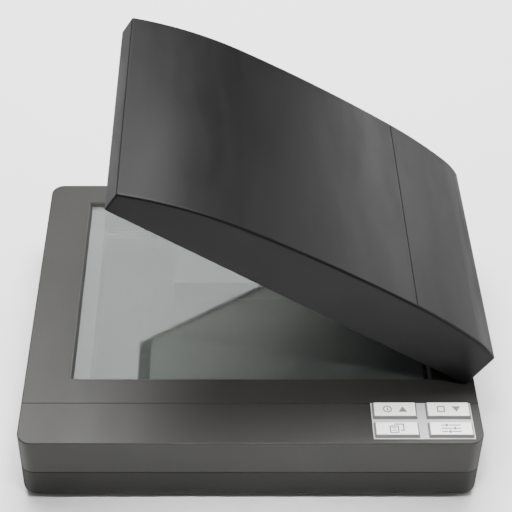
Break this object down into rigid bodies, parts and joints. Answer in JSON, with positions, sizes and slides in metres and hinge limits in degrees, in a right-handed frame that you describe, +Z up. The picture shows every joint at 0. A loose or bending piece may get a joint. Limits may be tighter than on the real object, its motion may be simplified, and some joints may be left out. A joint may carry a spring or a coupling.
{
  "type": "flatbed scanner",
  "caption": "Flatbed document scanner with a side-hinged crowned lid, a glass platen, a moving scan carriage on a belt drive and a cluster of push keys.",
  "frame": {"origin": "on the table, under the middle of the whole scanner with its lid at the stored angle, 6 mm right of the case's middle", "axes": "+X to the right, towards the lid's hinge; +Y to the back, where the sockets are; +Z up"},
  "size_m": [0.3903, 0.332, 0.2747],
  "materials": {
    "case_plastic": "fine moulded grain, satin",
    "tray_plastic": "moulded grain, satin",
    "lid_plastic": "semi-gloss moulded plastic",
    "liner_plastic": "matt moulded plastic",
    "key_plastic": "satin moulded plastic",
    "bezel_plastic": "satin moulded plastic",
    "platen_glass": "clear float glass",
    "lamp_glass": "frosted white tube",
    "gasket_rubber": "matt black rubber",
    "foot_rubber": "matt black rubber",
    "tape": "thin white tape",
    "white_strip": "plain white film",
    "backing_foam": "closed-cell grey foam",
    "backing_white": "smooth white sheet",
    "circuit_board": "green solder mask",
    "chip_plastic": "black moulded packages",
    "socket_plastic": "black moulded plastic",
    "socket_metal": "plated steel",
    "screw_steel": "zinc-plated steel",
    "rod_steel": "ground and polished",
    "shield_steel": "matt black paint",
    "sheet_steel": "plated sheet",
    "motor_steel": "plated steel can",
    "spring_steel": "wire",
    "gear_plastic": "natural acetal",
    "belt_rubber": "toothed rubber belt",
    "optics_plastic": "matt black moulding",
    "mirror": "front-silvered glass",
    "reflector": "bright folded strip",
    "brass": "brass",
    "bushing_bronze": "sintered bronze",
    "hinge_steel": "black painted steel",
    "lock_plastic": "moulded plastic"
  },
  "bodies": {
    "base": {"lower_case": "tray_plastic", "upper_case": "case_plastic", "control_strip": "case_plastic", "key_bezel": "bezel_plastic", "platen_glass": "platen_glass", "glass_tape": "tape", "glass_gasket": "gasket_rubber", "calibration_strip": "white_strip", "rubber_feet": "foot_rubber", "case_screws": "screw_steel", "main_board": "circuit_board", "board_components": "chip_plastic", "usb_port": "socket_metal", "power_inlet": "socket_plastic", "board_shield": "shield_steel", "inner_screws": "screw_steel", "key_board": "circuit_board", "key_switches": "chip_plastic", "guide_rod": "rod_steel", "rod_holders": "optics_plastic", "rear_rail": "sheet_steel", "motor_bracket": "sheet_steel", "motor_body": "motor_steel", "drive_axle": "rod_steel", "drive_belt": "belt_rubber", "idler_bracket": "sheet_steel", "tension_spring": "spring_steel"},
    "pinion": {"motor_pinion": "brass"},
    "drive_wheel": {"drive_gear": "gear_plastic"},
    "idler_wheel": {"idler_pulley": "gear_plastic"},
    "carriage": {"carriage_housing": "optics_plastic", "carriage_cover": "optics_plastic", "lamp_tube": "lamp_glass", "lamp_reflector": "reflector", "lamp_holders": "gasket_rubber", "mirrors": "mirror", "lens_barrel": "optics_plastic", "sensor_board": "circuit_board", "rod_bushings": "bushing_bronze", "rear_glide": "gear_plastic", "belt_clamp": "optics_plastic"},
    "lock": {"transport_lock": "lock_plastic"},
    "start_button": {"start_key": "key_plastic"},
    "stop_button": {"stop_key": "key_plastic"},
    "copy_button": {"copy_key": "key_plastic"},
    "settings_button": {"settings_key": "key_plastic"},
    "hinge_lift": {"hinge_post_front": "hinge_steel", "hinge_post_rear": "hinge_steel", "hinge_pins": "rod_steel"},
    "lid": {"lid_cover": "lid_plastic", "hinge_cover": "lid_plastic", "lid_liner": "liner_plastic", "backing_foam": "backing_foam", "backing_sheet": "backing_white", "lid_bumpers": "foot_rubber", "lid_screws": "screw_steel", "leaf_screws": "screw_steel", "hinge_leaf_front": "hinge_steel", "hinge_leaf_rear": "hinge_steel"}
  },
  "joints": [
    {"name": "hinge_lift_slide", "type": "slide", "parent": "base", "child": "hinge_lift", "axis": [0, 0, 1], "range_m": [0, 0.018]},
    {"name": "lid_hinge", "type": "hinge", "parent": "hinge_lift", "child": "lid", "pos_m": [0.176, 0.028, 0.0745], "axis": [0, 1, 0], "range_deg": [-33, 47]},
    {"name": "carriage_slide", "type": "slide", "parent": "base", "child": "carriage", "axis": [1, 0, 0], "range_m": [0, 0.306]},
    {"name": "drive_gear_spin", "type": "hinge", "parent": "base", "child": "drive_wheel", "pos_m": [0.159, -0.12, 0.038], "axis": [0, 1, 0], "range_deg": [-2620, 3]},
    {"name": "motor_spin", "type": "hinge", "parent": "base", "child": "pinion", "pos_m": [0.1415, -0.126, 0.038], "axis": [0, 1, 0], "range_deg": [-12, 10479]},
    {"name": "idler_spin", "type": "hinge", "parent": "base", "child": "idler_wheel", "pos_m": [-0.182, -0.12, 0.038], "axis": [0, 1, 0], "range_deg": [-2620, 3]},
    {"name": "transport_lock_slide", "type": "slide", "parent": "base", "child": "lock", "axis": [0, 1, 0], "range_m": [0, 0.02]},
    {"name": "start_key_press", "type": "slide", "parent": "base", "child": "start_button", "axis": [0, 0, -1], "range_m": [0, 0.0012], "stiffness_N_per_m": 300, "springref_m": -0.002},
    {"name": "stop_key_press", "type": "slide", "parent": "base", "child": "stop_button", "axis": [0, 0, -1], "range_m": [0, 0.0012], "stiffness_N_per_m": 300, "springref_m": -0.002},
    {"name": "copy_key_press", "type": "slide", "parent": "base", "child": "copy_button", "axis": [0, 0, -1], "range_m": [0, 0.0012], "stiffness_N_per_m": 300, "springref_m": -0.002},
    {"name": "settings_key_press", "type": "slide", "parent": "base", "child": "settings_button", "axis": [0, 0, -1], "range_m": [0, 0.0012], "stiffness_N_per_m": 300, "springref_m": -0.002}
  ],
  "couplings": [
    {"joint": "drive_gear_spin", "follows": "carriage_slide", "rad_per_m": -149.25},
    {"joint": "motor_spin", "follows": "carriage_slide", "rad_per_m": 597.01},
    {"joint": "idler_spin", "follows": "carriage_slide", "rad_per_m": -149.25}
  ]
}
